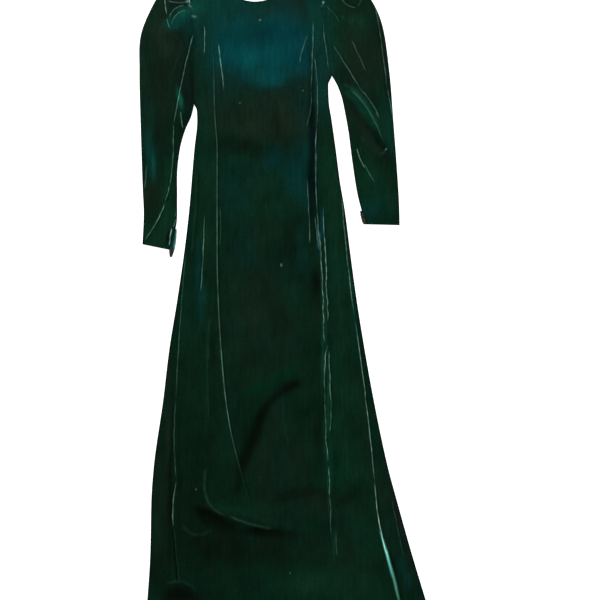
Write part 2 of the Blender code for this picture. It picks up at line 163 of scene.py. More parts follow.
# The two edges of the puckered fold along the left front seam, which waver.
PUCKERS = [
    # start x, y, middle x, y, end x, y, width, height, shine, shade
    (83, 118, 89, -5, 90, -64, 2.2, 1.6, 0.60, -0.8),           # right edge
    (89, -55, 90, -80, 92, -108, 2.2, 1.6, 0.58, -0.8),
    (101, -112, 94, -160, 94, -230, 2.2, 1.6, 0.58, -0.5),
    (94, -222, 95, -290, 101, -399, 2.2, 1.6, 0.52, -0.5),
    (101, -391, 106, -477, 108, -562, 2.0, 1.2, 0.40, -0.4),
    (89, 218, 96, 80, 96, 40, 2.2, 1.4, 0.54, 0.5),             # left edge
    (96, 48, 99, 0, 100, -60, 2.2, 1.4, 0.48, 0.5),
    (103, -126, 106, -180, 108, -250, 2.2, 1.3, 0.56, 0.5),
    (108, -242, 108, -280, 106, -318, 2.0, 1.0, 0.34, 0.4),
]
SLEEVE_CREASES = [
    # start x, y, middle x, y, end x, y, width, height, shine, shade
    (-213, 626, -237, 522, -261, 400, 2.4, 2.0, 0.48, -0.7),    # the twist of the right sleeve
    (-261, 408, -262, 334, -271, 254, 2.4, 1.8, 0.44, 0.4),
    (-283, 219, -298, 183, -331, 131, 2.4, 1.6, 0.62, 0.4),
    (-271, 262, -276, 240, -282, 226, 2.4, 1.6, 0.50, 0.4),
    (-244, 435, -242, 416, -240, 395, 2.2, 1.0, 0.45, 0.3),
    (-324, 312, -327, 282, -329, 254, 2.2, 0.9, 0.34, 0.0),
    (-285, 712, -281, 690, -276, 660, 2.4, 1.8, 0.52, -0.7),    # gathers of the right head
    (-277, 652, -274, 640, -270, 628, 2.2, 1.4, 0.36, -0.5),
    (-274, 694, -251, 689, -222, 694, 2.6, 1.8, 0.42, 0.5),
    (-271, 653, -257, 674, -232, 684, 2.8, 1.6, 0.34, 0.4),
    (-266, 636, -252, 662, -229, 672, 2.6, 1.4, 0.34, 0.4),
    (-226, 702, -224, 696, -222, 688, 3.0, 1.6, 1.00, 0.0),
    (-262, 612, -247, 600, -231, 570, 6.0, 1.4, 0.03, 0.0),
    (211, 694, 227, 590, 240, 486, 2.4, 1.5, 0.36, -0.5),       # the outer line, left sleeve
    (240, 493, 249, 446, 255, 418, 2.4, 1.2, 0.46, -0.3),
    (96, 684, 114, 664, 130, 640, 2.4, 1.6, 0.20, 0.4),         # gathers of the left head
    (130, 704, 145, 684, 168, 677, 2.8, 1.8, 0.36, 0.5),
    (168, 680, 176, 690, 180, 702, 2.8, 1.2, 0.18, 0.0),
    (110, 596, 148, 533, 178, 484, 2.6, 1.5, 0.32, 0.4),
    (172, 490, 202, 454, 220, 416, 3.0, 1.5, 0.30, 0.3),
    (155, 602, 172, 566, 190, 527, 2.8, 1.2, 0.28, 0.2),
    (132, 500, 182, 460, 236, 353, 8.0, 2.4, 0.05, -0.4),       # the slanting fold
    (150, 486, 192, 440, 232, 362, 3.0, 1.5, 0.30, -0.4),
    (240, 352, 233, 342, 222, 334, 3.0, 1.6, 0.50, -0.4),
    (200, 458, 212, 439, 222, 416, 2.6, 1.0, 0.24, 0.0),
    (168, 350, 176, 325, 188, 302, 2.6, 1.5, 0.60, 0.2),
    (186, 312, 198, 290, 211, 268, 2.6, 1.2, 0.36, 0.2),
    (-266, 163, -270, 140, -273, 120, 2.4, 1.2, 0.90, -0.8),    # the right cuff's slit
    (-240, 600, -250, 560, -266, 510, 6.0, 1.4, 0.04, 0.0),
    (-256, 212, -257, 200, -258, 188, 1.6, 0.4, 0.30, 0.3),     # puckers above its cuff's slit
    (-257, 184, -259, 174, -262, 164, 1.6, 0.4, 0.40, 0.3),
]

# ---------------------------------------------------------------- the pile's tones, painted sheen and painted shade
# Linear colours of the velvet: tones of its pile, and painted sheen and highlights where it catches the
# light, down to painted shade in its folds, grooves and hollows.
VELVET = (0.0019, 0.0136, 0.0066)
TINTS = {
    "teal": (0.0009, 0.0490, 0.0530),
    "sea": (0.0018, 0.0350, 0.0285),
    "blue": (0.0012, 0.0255, 0.0235),
    "moss": (0.0055, 0.0160, 0.0095),
    "olive": (0.0046, 0.0140, 0.0080),
    "pine": (0.0030, 0.0205, 0.0108),
    "leaf": (0.0034, 0.0245, 0.0120),
    "deep": (0.0020, 0.0066, 0.0032),
    "bronze": (0.0046, 0.0122, 0.0070),
    "slate": (0.0040, 0.0215, 0.0155),
    "slate2": (0.0044, 0.0175, 0.0125),
    "teal2": (0.0011, 0.0420, 0.0440),
    "teal3": (0.0008, 0.0270, 0.0290),
    "ridge": (0.0035, 0.0380, 0.0190),
    "cyan": (0.0010, 0.0580, 0.0620),
    "blue2": (0.0012, 0.0360, 0.0440),
    "umber": (0.0066, 0.0152, 0.0095),
    "dark": (0.0032, 0.0092, 0.0052),
    "bright": (0.0060, 0.1050, 0.0650),
    "bright2": (0.0035, 0.0560, 0.0340),
    "flash": (0.1150, 0.4700, 0.4000),
    "rust": (0.0125, 0.0068, 0.0030),
    # the next two tints are painted shade in the grooves between and beside creases
    "crease_shade": (0.0010, 0.0042, 0.0048),
    "crease_shade2": (0.0042, 0.0100, 0.0086),
    "black": (0.0016, 0.0036, 0.0022),
    "pitch": (0.0006, 0.0018, 0.0004),
    # the next tint is a painted shadow for the pockets under the curved fold
    "shadow_olive": (0.0019, 0.0043, 0.0014),
    "fern": (0.0008, 0.0205, 0.0092),
    "loden": (0.0023, 0.0108, 0.0051),
    "plum": (0.0062, 0.0100, 0.0082),
    "gleam": (0.2300, 0.7000, 0.5700),
    "glow": (0.0600, 0.2500, 0.1750),
    "spark": (0.3600, 0.6200, 0.5800),
}
CREST_HIGHLIGHT_GREEN = np.array((0.030, 0.150, 0.105))   # painted highlight on a low crest
CREST_HIGHLIGHT_WHITE = np.array((0.400, 0.460, 0.430))   # and the painted highlight that a sharp crest adds to it
BACKING = (0.030, 0.025, 0.020)
# A row for each patch: where the pile was brushed one way, its tone and its painted sheen; where the
# cloth folds or dips, painted shade. These rows are places read off the photo and put into millimetres,
# not sizes worked out here.
PATCHES = [
    # x, y, half width, half height, tilt in degrees, tint, strength
    # the skirt's middle
    (-54, 263, 122, 94, 0, "pine", 0.55),
    (-96, -7, 61, 118, 0, "olive", 0.45),
    # the yoke, with painted sheen where it faces the light
    (-82, 665, 155, 61, 0, "sea", 0.90),
    (-186, 651, 40, 75, 0, "sea", 0.55),
    (-188, 543, 33, 80, 0, "pine", 0.55),
    (87, 592, 24, 122, 0, "sea", 0.75),
    (87, 463, 21, 52, 0, "sea", 0.45),
    (14, 679, 56, 31, 0, "slate2", 0.92),
    (-82, 646, 75, 47, 0, "slate2", 0.45),
    (-7, 679, 56, 33, 0, "slate2", 0.55),
    (-106, 634, 11.8, 19, 0, "teal", 0.50),
    (63, 679, 11.8, 28, 0, "sea", 0.60),
    (-209, 684, 14, 19, 0, "bright", 0.22),
    (68, 590, 4.2, 42, 0, "bright", 0.40),
    # the bust, with painted sheen where it faces the light
    (-54, 580, 113, 70, 0, "teal2", 0.92),
    (-63, 618, 66, 35, 10, "teal3", 0.88),
    (-89, 559, 40, 31, -16, "cyan", 0.75),
    (-134, 571, 19, 33, -10, "teal", 0.35),
    (-21, 559, 21, 21, 35, "cyan", 0.65),
    (28, 585, 40, 61, 20, "blue2", 0.60),
    (-38, 512, 35, 19, 8, "cyan", 0.65),
    (-148, 501, 35, 33, 30, "slate", 0.60),
    (-172, 439, 38, 52, 0, "slate", 0.45),
    # the midriff, with painted shade under the bust and patches of painted sheen lower down
    (-49, 421, 108, 61, -3, "moss", 0.92),
    (12, 482, 61, 26, 28, "moss", 0.65),
    (-54, 397, 80, 26, -4, "umber", 0.65),
    (-40, 454, 38, 21, 0, "umber", 0.45),
    (24, 411, 28, 28, 0, "umber", 0.50),
    (-19, 407, 9.4, 28, 0, "deep", 0.50),
    (-115, 355, 56, 19, -12, "deep", 0.45),
    (-54, 341, 61, 19, -14, "deep", 0.50),
    (12, 355, 33, 21, 20, "deep", 0.40),
    (42, 435, 19, 52, 0, "slate", 0.60),
    (-31, 322, 28, 33, -30, "blue", 0.45),
    (33, 308, 26, 52, -12, "blue", 0.62),
    (35, 261, 31, 38, 0, "blue", 0.55),
    (49, 294, 16, 66, 0, "sea", 0.35),
    (110, 508, 28, 21, 0, "sea", 0.40),
    (-113, 251, 47, 56, 0, "blue", 0.30),
    (-54, 228, 47, 47, 0, "pine", 0.40),
    (-40, 153, 47, 28, 0, "moss", 0.55),
    (12, 143, 26, 52, 0, "deep", 0.50),
    (40, 110, 11.8, 61, 0, "blue", 0.35),
    (-101, 110, 42, 47, 0, "blue", 0.25),
    (-40, 16, 61, 61, 0, "olive", 0.45),
    (21, -7, 42, 28, 0, "pine", 0.50),
    # between the lines at the left front seam: painted shade in the groove and painted sheen on the
    # ridge
    (63, 357, 8.0, 174, 0, "crease_shade", 0.92),
    (61, 263, 10.8, 66, 2, "crease_shade", 0.75),
    (73, 28, 10.3, 33, 0, "black", 0.92),
    (76, -45, 8.5, 33, 0, "crease_shade2", 0.60),
    (106, -108, 7.1, 19, 0, "black", 0.60),
    (80, -120, 7.1, 33, 0, "deep", 0.50),
    (82, -313, 10.3, 52, -3, "deep", 0.75),
    (92, -78, 5.6, 113, -2, "ridge", 0.80),
    (100, -277, 5.9, 103, -2, "ridge", 0.85),
    (106, -416, 5.2, 61, -2, "ridge", 0.70),
    (118, -583, 5.2, 33, -4, "ridge", 0.50),
    (-187, -207, 5.2, 99, 0, "leaf", 0.50),
    (-197, -7, 7.1, 47, 0, "sea", 0.50),
    (129, -78, 8.0, 80, -4, "pine", 0.35),
    (82, 153, 7.1, 42, -8, "blue2", 0.55),
    # the left side panel
    (113, 298, 28, 141, 3, "leaf", 0.60),
    (125, 87, 28, 141, 4, "leaf", 0.60),
    (129, -113, 33, 118, 4, "pine", 0.45),
    (143, -289, 38, 141, 6, "leaf", 0.40),
    (122, -425, 28, 38, 0, "fern", 0.45),
    (167, -421, 33, 33, 0, "leaf", 0.45),
    (160, -7, 7.1, 94, 5, "sea", 0.30),
    # the right side panel
    (-190, 298, 28, 118, 0, "pine", 0.50),
    (-188, 146, 26, 70, 0, "leaf", 0.45),
    (-204, 68, 6.1, 61, 0, "blue", 0.60),
    (-200, -7, 16, 52, 0, "sea", 0.35),
    (-228, -78, 16, 94, 4, "pine", 0.50),
    (-186, -125, 24, 94, 0, "pine", 0.30),
    (-167, -129, 10.6, 42, 0, "deep", 0.85),
    (-223, -289, 21, 141, 2, "pine", 0.35),
    (-200, -313, 129, 212, 0, "loden", 0.40),
    (-148, -491, 94, 80, 0, "loden", 0.55),
    (-216, -407, 33, 94, 0, "deep", 0.40),
    (-237, -571, 47, 118, 0, "deep", 0.45),
    (-275, -289, 10.6, 212, 4, "umber", 0.60),
    (-294, -430, 14, 141, 4, "bronze", 0.60),
    (-268, -407, 5.2, 176, -1, "black", 0.75),
    (-301, -548, 9.4, 94, 2, "umber", 0.45),
    (-251, -407, 5.9, 164, 0, "deep", 0.50),
    # the middle of the skirt, with painted sheen on the swell above the slanting hollow
    (-35, -113, 89, 89, 0, "olive", 0.65),
    (-92, -42, 38, 70, 0, "umber", 0.45),
    (-125, -78, 21, 141, -3, "pine", 0.35),
    (-54, -209, 45, 13, 26, "fern", 0.75),
    (-7, -186, 31, 14, 24, "fern", 0.80),
    # painted shade in the slanting hollow
    (21, -209, 19, 9.4, 24, "black", 0.90),
    (-2, -221, 24, 10.3, 34, "black", 0.90),
    (-31, -244, 28, 11.3, 46, "black", 0.92),
    (-54, -275, 31, 11.3, 57, "pitch", 0.94),
    (-70, -313, 33, 13, 64, "pitch", 0.95),
    (-85, -350, 31, 14, 66, "pitch", 0.93),
    (-96, -383, 28, 14, 70, "pitch", 0.85),
    (-106, -421, 38, 10.8, 76, "pitch", 0.55),
    # the knee
    (49, -270, 33, 33, 0, "deep", 0.30),
    (-21, -289, 28, 52, -10, "olive", 0.60),
    (-35, -388, 61, 70, 0, "umber", 0.40),
    (35, -371, 38, 70, 0, "olive", 0.40),
    (-141, -355, 28, 52, 0, "pine", 0.35),
    (-87, -491, 70, 24, -10, "pine", 0.35),
    (-106, -505, 70, 9.4, -14, "leaf", 0.50),
    # the pockets of shadow under the curved fold
    (-188, -503, 21, 11.8, -12, "pitch", 0.97),
    (-164, -515, 26, 13, -26, "pitch", 0.96),
    (-139, -536, 28, 13, -20, "pitch", 0.75),
    (-115, -583, 47, 31, -8, "black", 0.50),
    (-59, -552, 33, 10.6, -6, "pitch", 0.93),
    (-28, -557, 38, 13, -8, "pitch", 0.97),
    (16, -559, 21, 10.6, 4, "black", 0.80),
    (-82, -590, 94, 38, -6, "deep", 0.70),
    (-186, -583, 38, 28, -20, "deep", 0.70),
    (-181, -519, 21, 13, -14, "shadow_olive", 0.80),
    (-148, -543, 26, 14, -14, "shadow_olive", 0.55),
    (-176, -643, 6.1, 4.2, 0, "rust", 0.75),
    (-54, -583, 28, 21, 0, "olive", 0.40),
    (35, -583, 47, 28, 0, "olive", 0.40),
    (-200, -618, 56, 24, 0, "deep", 0.40),
    (73, -472, 99, 21, -3, "bronze", 0.70),
    (35, -463, 61, 14, 6, "deep", 0.60),
    (141, -477, 28, 16, 0, "deep", 0.45),
    (87, -505, 94, 19, 0, "moss", 0.45),
    (-176, -712, 70, 47, 0, "deep", 0.30),
    (-240, -698, 40, 18, -6, "black", 0.96),
    (-266, -705, 24, 16, 0, "black", 0.85),
    (-306, -653, 14, 47, 0, "deep", 0.50),
    # near the hem
    (59, -674, 70, 33, -4, "leaf", 0.80),
    (106, -651, 33, 24, 0, "leaf", 0.70),
    (141, -618, 61, 56, 0, "moss", 0.35),
    (141, -684, 42, 28, 0, "leaf", 0.55),
    (188, -571, 33, 61, 0, "leaf", 0.50),
    (200, -689, 28, 38, 0, "leaf", 0.60),
    (282, -646, 9.4, 38, 20, "sea", 0.50),
    (289, -618, 19, 85, 16, "bronze", 0.25),
    (261, -477, 19, 94, 14, "umber", 0.50),
    (280, -548, 11.8, 61, 16, "plum", 0.60),
    (251, -407, 9.4, 118, 14, "plum", 0.45),
    (209, -407, 11.8, 212, 12, "moss", 0.40),
    # the flash at the end of the left skirt crease
    (228, -566, 2.1, 16, 16, "flash", 0.45),
    (237, -595, 2.4, 21, 16, "gleam", 0.85),
    (244, -620, 2.6, 19, 15, "flash", 0.95),
    (251, -644, 3.1, 16, 15, "flash", 0.75),
    (259, -674, 3.1, 24, 13, "glow", 0.90),
    (266, -705, 2.8, 16, 12, "glow", 0.45),
    # the right sleeve
    (-282, 557, 61, 141, 0, "bronze", 0.90),
    (-268, 580, 11.8, 26, -22, "moss", 0.60),
    (-251, 689, 19, 6.1, -10, "umber", 0.55),
    (-301, 609, 26, 33, 0, "umber", 0.75),
    (-266, 599, 21, 38, 20, "moss", 0.55),
    (-251, 604, 21, 33, 10, "dark", 0.55),
    (-298, 486, 38, 61, 0, "bronze", 0.50),
    (-298, 522, 28, 38, 0, "dark", 0.35),
    (-230, 496, 11.8, 35, 8, "crease_shade2", 0.75),
    (-284, 369, 28, 94, 0, "dark", 0.50),
    (-315, 341, 10.6, 61, 2, "sea", 0.62),
    (-320, 430, 16, 28, 0, "slate", 0.45),
    (-310, 306, 4.7, 26, 0, "bright", 0.22),
    (-306, 228, 24, 38, 0, "bronze", 0.85),
    (-327, 237, 7.1, 42, 0, "umber", 0.60),
    (-275, 263, 16, 80, -4, "leaf", 0.70),
    (-301, 148, 38, 33, 0, "leaf", 0.85),
    (-275, 195, 21, 33, 0, "leaf", 0.60),
    (-247, 651, 35, 14, 22, "sea", 0.85),
    (-266, 637, 14, 11.8, 40, "sea", 0.80),
    (-233, 670, 21, 11.8, 25, "bright", 0.35),
    (-273, 684, 24, 19, 0, "moss", 0.60),
    (-246, 461, 4.7, 19, 10, "bright", 0.85),
    (-251, 435, 7.1, 24, 6, "leaf", 0.60),
    # the left sleeve
    (167, 557, 75, 150, 0, "bronze", 0.62),
    (141, 646, 52, 47, 20, "leaf", 0.55),
    (157, 670, 28, 16, 20, "dark", 0.45),
    (176, 651, 24, 16, -30, "leaf", 0.60),
    (120, 585, 16, 52, 20, "leaf", 0.55),
    (181, 562, 38, 80, 15, "umber", 0.60),
    (216, 557, 19, 94, 8, "moss", 0.45),
    (237, 533, 7.1, 118, 5, "dark", 0.50),
    (233, 435, 11.8, 61, 8, "leaf", 0.60),
    (249, 392, 11.8, 61, 4, "sea", 0.45),
    (214, 416, 33, 19, -50, "leaf", 0.70),
    (157, 477, 26, 10.8, -36, "bright2", 0.55),
    (181, 446, 24, 11.3, -58, "bright2", 0.55),
    (200, 414, 21, 9.4, -58, "bright2", 0.40),
    (148, 444, 11.8, 33, 30, "dark", 0.45),
    (190, 397, 52, 7.5, -54, "dark", 0.80),
    (223, 360, 19, 7.1, -45, "black", 0.70),
    (200, 364, 33, 10.6, -52, "umber", 0.80),
    (164, 404, 19, 52, 25, "moss", 0.40),
    (228, 336, 19, 9.4, -30, "umber", 0.60),
    (242, 322, 21, 24, 0, "dark", 0.35),
    (190, 275, 33, 52, 10, "leaf", 0.65),
    (235, 251, 28, 52, 0, "pine", 0.45),
    (195, 209, 28, 28, 0, "sea", 0.45),
    (251, 216, 16, 38, 0, "leaf", 0.45),
    # small painted highlights, and small marks of painted shade in the gathers and at a cuff's slit
    (-214, 660, 5.2, 2.1, -10, "spark", 0.22),
    (-229, 694, 3.3, 2.4, 0, "spark", 0.40),
    (-223, 684, 4.0, 1.4, -38, "spark", 0.35),
    (90, 693, 1.9, 2.4, 0, "spark", 0.60),
    (87, 685, 3.8, 1.9, 0, "bright", 0.60),
    (-59, 651, 2.4, 1.2, -20, "spark", 0.30),
    (-106, 456, 1.9, 1.4, 0, "spark", 0.15),
    (-9, 75, 1.2, 2.8, 20, "spark", 0.35),
    (-209, -451, 1.2, 1.2, 0, "spark", 0.40),
    (12, -649, 1.2, 1.2, 0, "spark", 0.22),
    (42, 484, 1.2, 1.2, 0, "spark", 0.28),
    (183, 369, 7.1, 2.8, -50, "bright2", 0.30),
    (-247, 691, 16, 3.8, 0, "umber", 0.70),
    (-254, 686, 14, 2.8, -20, "black", 0.55),
    (-237, 687, 9.4, 2.1, -20, "black", 0.60),
    (-263, 686, 4.7, 9.4, 0, "black", 0.45),
    (143, 693, 16, 9.4, 20, "dark", 0.50),
    (157, 646, 9.4, 7.1, 20, "bright2", 0.25),
    (181, 642, 5.2, 11.8, 0, "bright2", 0.22),
    (136, 651, 4.7, 7.1, 30, "bright2", 0.30),
    (-276, 141, 3.1, 14, -8, "black", 0.90),
]
NECK_EDGE_SHADE = 0.35

# ---------------------------------------------------------------- fineness of the meshes
ROW_STEP, COLUMN_STEP, EDGE_COLUMN_STEP = 3.15, 2.05, 0.75
BACK_ROW_STEP, BACK_COLUMN_STEP = 9.0, 6.0
SLEEVE_STEPS, SLEEVE_COLUMNS, SLEEVE_UNDER_COLUMNS = 300, 170, 26
TURNING = 3         # how many mesh steps the turned edge reaches in under the cloth
SEAM_DEPTH, SEAM_WIDTH = 1.3, 1.5
EDGE_ROLL = 5.0     # the margin over which the front rolls down at the side seams
BACK_INSET = 2.5    # how far the back's edge lies under that roll
UNDER_SLEEVE = 4.0  # how far an underlap reaches in under its sleeve

# ---------------------------------------------------------------- what the sleeves were cut to
FULLNESS = 1.12     # the share that the gathers and the puff take up
HEAD = 90           # how far the head rises above the middle of the armhole
TAPER = 0.8         # a sleeve's area as a share of its width times its length


# ---------------------------------------------------------------- curves
def profile(rows):
    """x as a smooth function of y through the rows, with no overshoot between them."""
    y, x = np.array(rows, float).T
    step = np.diff(y)
    slope = np.diff(x) / step
    tangent = np.zeros(len(x))
    tangent[0], tangent[-1] = slope[0], slope[-1]
    for i in range(1, len(x) - 1):
        if slope[i - 1] * slope[i] > 0:
            before, after = 2 * step[i] + step[i - 1], step[i] + 2 * step[i - 1]
            tangent[i] = (before + after) / (before / slope[i - 1] + after / slope[i])

    def at(height):
        i = np.clip(np.searchsorted(y, height) - 1, 0, len(step) - 1)
        t = np.clip((height - y[i]) / step[i], 0, 1)
        start = (1 + 2 * t) * (1 - t) ** 2 * x[i] + t * (1 - t) ** 2 * step[i] * tangent[i]
        end = t * t * (3 - 2 * t) * x[i + 1] - t * t * (1 - t) * step[i] * tangent[i + 1]
        return start + end

    return at


def smooth(t):
    """0 to 1 with a soft start and end."""
    t = np.clip(t, 0, 1)
    return t * t * (3 - 2 * t)


def ripple(x, y, size, seed):
    """Soft uneven noise from -1 to 1, whose swells are about that size across."""
    random = np.random.default_rng(seed)
    total = np.zeros_like(x)
    for _ in range(9):
        angle, phase = random.uniform(0, 2 * math.pi, 2)
        wave = 2 * math.pi / (size * random.uniform(0.6, 1.7))
        total += np.sin(wave * (x * math.cos(angle) + y * math.sin(angle)) + phase)
    return total / 4.5


side_right, side_left = profile(SIDE_RIGHT), profile(SIDE_LEFT)
seam_right, seam_left, seam_back = profile(SEAM_RIGHT), profile(SEAM_LEFT), profile(SEAM_BACK)


def curve_points(row, steps):
    """Points along the curve through a row's start, middle and end."""
    start, middle, end = (np.array(row[k:k + 2], float) for k in (0, 2, 4))
    t = np.linspace(0, 1, steps + 1)[:, None]
    return 2 * (t - 0.5) * (t - 1) * start - 4 * t * (t - 1) * middle + 2 * t * (t - 0.5) * end


def nearest_on(points, x, y):
    """How far each place is from a curve, signed by its side, and its share of the way along."""
    best = np.full(x.shape, 1e9)
    signed, along = np.zeros(x.shape), np.zeros(x.shape)
    count = len(points) - 1
    for k in range(count):
        (ax, ay), (bx, by) = points[k], points[k + 1]
        dx, dy = bx - ax, by - ay
        length = math.hypot(dx, dy)
        t = np.clip(((x - ax) * dx + (y - ay) * dy) / length ** 2, 0, 1)
        away = np.hypot(x - ax - t * dx, y - ay - t * dy)
        nearer = away < best
        side = np.where(dx * (y - ay) - dy * (x - ax) >= 0, 1.0, -1.0)
        best = np.where(nearer, away, best)
        signed = np.where(nearer, away * side, signed)
        along = np.where(nearer, (k + t) / count, along)
    return signed, along


def near(points, reach, x, y):
    """The places within reach of a curve's box."""
    low, high = points.min(0) - reach, points.max(0) + reach
    return (x > low[0]) & (x < high[0]) & (y > low[1]) & (y < high[1])


# ---------------------------------------------------------------- relief and pile
def broad_folds(x, y):
    total = np.zeros(x.shape)
    for row in FOLDS:
        width, height = row[6:8]
        points = curve_points(row, 24)
        spot = near(points, 3 * width, x, y)
        away, along = nearest_on(points, x[spot], y[spot])
        ends = smooth(2.6 * np.minimum(along, 1 - along))
        total[spot] += height * ends * np.exp(-((away / width) ** 2))
    return total


def creased(rows, x, y, seed, waver=0.8):
    """The height that the creases add, the painted highlight on their crests, and the painted shade
    beside them.
    """
    height, shine, shade = np.zeros(x.shape), np.zeros(x.shape), np.zeros(x.shape)
    for k, row in enumerate(rows):
        width, rise, bright, dark = row[6:10]
        points = curve_points(row, 18)
        wander = waver * ripple(points[:, 0] * 3, points[:, 1], 40, seed + k)
        points[:, 0] += wander * smooth(np.linspace(0, 1, len(points)) * 6)
        spot = near(points, 6 * width + 6, x, y)
        if not spot.any():
            continue
        px, py = x[spot], y[spot]
        away, along = nearest_on(points, px, py)
        ends = smooth(7 * np.minimum(along, 1 - along) + 0.08)
        uneven = 0.82 + (0.20 + 0.12 * waver) * ripple(px * 0.4, py, 20, seed + 90 + k)
        uneven = np.maximum(0.15, uneven + 0.2 * ripple(px * 0.4, py, 90, seed + k))
        height[spot] += rise * ends * (0.7 * np.exp(-((away / width) ** 2))
                                       + 0.3 * np.exp(-((away / (2.6 * width)) ** 2)))
        crest = np.exp(-((away / max(1.0, 0.36 * width)) ** 2))
        shine[spot] = np.maximum(shine[spot], bright * ends * uneven * crest)
        beside = np.exp(-(((away - math.copysign(1.25 * width, dark)) / (0.75 * width)) ** 2))
        shade[spot] = np.maximum(shade[spot], abs(dark) * ends * beside)
    return height, shine, shade


def pile(x, y, shine, shade, patches=PATCHES):
    """The velvet's colour at each place: the tones and painted sheen and shade of the patches, and the
    painted highlights and shade of the creases and seams.
    """
    colour = np.ones(x.shape + (3,)) * VELVET
    wander_x = 11 * ripple(x, y, 95, 1) + 5 * ripple(x, y, 34, 2)
    wander_y = 13 * ripple(x, y, 95, 3) + 5 * ripple(x, y, 34, 4)
    for px, py, half_width, half_height, tilt, tint, strength in patches:
        loose = min(1.0, min(half_width, half_height) / 45)
        c, s = math.cos(math.radians(tilt)), math.sin(math.radians(tilt))
        dx, dy = x + loose * wander_x - px, y + loose * wander_y - py
        u, v = (dx * c + dy * s) / half_width, (dy * c - dx * s) / half_height
        weight = strength * np.exp(-0.8 * np.hypot(u, v) ** 2.6)
        colour += (np.array(TINTS[tint]) - colour) * weight[..., None]
    brushed = 1 + 0.07 * ripple(x, y * 0.3, 16, 5) + 0.12 * ripple(x, y * 0.7, 62, 6)
    brushed += 0.06 * ripple(x, y * 0.1, 8, 8)
    warm = 0.16 * ripple(x, y * 0.6, 75, 7)
    colour *= np.maximum(0.4, brushed)[..., None]
    colour *= 1 + warm[..., None] * np.array((0.8, -0.25, -0.6))
    # Painted shade darkens the cloth beside creases and seams and at edges; painted highlights lighten
    # and whiten the crests.
    colour *= (1 - 0.82 * np.clip(shade, 0, 1))[..., None]
    colour *= 1 + 1.6 * shine[..., None]
    return colour + shine[..., None] * CREST_HIGHLIGHT_GREEN + (shine ** 2)[..., None] * CREST_HIGHLIGHT_WHITE


def fine_rumple(x, y):
    """The slight unevenness of cloth that was smoothed by hand."""
    return (0.30 * ripple(x * 2.2, y, 120, 11) + 0.16 * ripple(x * 1.6, y, 52, 12)
            + 0.05 * ripple(x, y, 18, 13))


def body_height(x, y):
    """The front's height above where it lies flattest, and its creases' shine and shade."""
    across = np.minimum(x - side_right(y), side_left(y) - x)
    neck = np.hypot(x - NECK_X, y - NECK_Y) - NECK_RADIUS
    edge = smooth(across / LOFT_EDGE) * smooth(neck / LOFT_EDGE) * smooth((770 - y) / LOFT_EDGE)
    low = np.maximum(0.0, (LOFT + broad_folds(x, y) + fine_rumple(x, y)) * edge)
    crease, shine, shade = creased(BODY_CREASES, x, y, 100)
    pucker, pucker_shine, pucker_shade = creased(PUCKERS, x, y, 500, 1.7)
    crease, shade = crease + pucker, np.maximum(shade, pucker_shade)
    shine = np.maximum(shine, pucker_shine)
    inside = smooth(across / 6) * smooth(neck / 6)
    return low + crease * inside, shine * inside, shade * inside


# ---------------------------------------------------------------- the seams that show
# How bright each long seam is from its top to the hem: height, shine, and shade on its left.
SEAM_RIGHT_SHOWS = [
    # y, shine, shade
    (-764, 0.00, 0.0), (-520, 0.01, 0.0), (-440, 0.07, 0.3), (-300, 0.42, 0.6), (-190, 0.46, 0.7),
    (-20, 0.42, 0.7), (200, 0.36, 0.9), (380, 0.34, 0.5), (480, 0.20, 0.3), (560, 0.10, 0.1),
    (600, 0.01, 0.0), (760, 0.01, 0.0),
]
SEAM_LEFT_SHOWS = [
    # y, shine, shade
    (-764, 0.01, 0.0), (-600, 0.02, 0.0), (-540, 0.06, 0.1), (-400, 0.12, 0.3), (0, 0.10, 0.4),
    (200, 0.14, 0.5), (420, 0.12, 0.3), (600, 0.06, 0.0), (760, 0.02, 0.0),
]


def seam_marks(away, y, rows):
    """Shine just beside a seam and shade in its groove, as the table gives them by height."""
    table = np.array(rows, float)
    bright, dark = np.interp(y, table[:, 0], table[:, 1]), np.interp(y, table[:, 0], table[:, 2])
    uneven = 0.85 + 0.25 * ripple(away * 0, y, 30, 31)
    return (bright * uneven * np.exp(-(((away + 1.3) / 1.35) ** 2)),
            dark * np.exp(-(((away - 1.9) / 1.7) ** 2)))


# ---------------------------------------------------------------- meshes
def add_mesh(name, points, faces, colours, material, node):
    """A shaded piece of the gown that rides on the part and replaces its CAD solid."""
    mesh = bpy.data.meshes.new(name)
    mesh.vertices.add(len(points))
    mesh.vertices.foreach_set("co", (points * MM).astype(np.float32).ravel())
    mesh.loops.add(4 * len(faces))
    mesh.polygons.add(len(faces))
    mesh.loops.foreach_set("vertex_index", faces.astype(np.int32).ravel())
    mesh.polygons.foreach_set("loop_start", np.arange(0, 4 * len(faces), 4, dtype=np.int32))
    mesh.polygons.foreach_set("loop_total", np.full(len(faces), 4, dtype=np.int32))
    mesh.polygons.foreach_set("use_smooth", np.ones(len(faces), dtype=bool))
    # the colour attribute holds the cloth's tone together with its painted sheen, highlights and shade
    tone_and_painted_light = mesh.attributes.new("tone_and_painted_light", "FLOAT_COLOR", "POINT")
    tone_and_painted_light.data.foreach_set("color", np.c_[colours, np.ones(len(colours))].astype(np.float32).ravel())
    mesh.update(calc_edges=True)
    mesh.validate()
    piece = bpy.data.objects.new(name, mesh)
    mesh.materials.append(material)
    bpy.context.collection.objects.link(piece)
    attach(piece, "root")
    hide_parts(node)
    return piece


def grid_faces(rows, columns, closed=False):
    """The faces of a grid of points, closed round its columns if it is a tube."""
    r, c = np.meshgrid(np.arange(rows - 1), np.arange(columns if closed else columns - 1),
                       indexing="ij")
    a, b = r * columns + c, r * columns + (c + 1) % columns
    return np.stack([a, b, b + columns, a + columns], axis=-1).reshape(-1, 4)


def turned_border(rows, columns):
    """A grid's border, as (row, column) once round it, counter-clockwise from its first corner."""
    low = [(0, c) for c in range(columns)]
    right = [(r, columns - 1) for r in range(1, rows)]
    top = [(rows - 1, c) for c in range(columns - 2, -1, -1)]
    left = [(r, 0) for r in range(rows - 2, 0, -1)]
    return np.array(low + right + top + left)


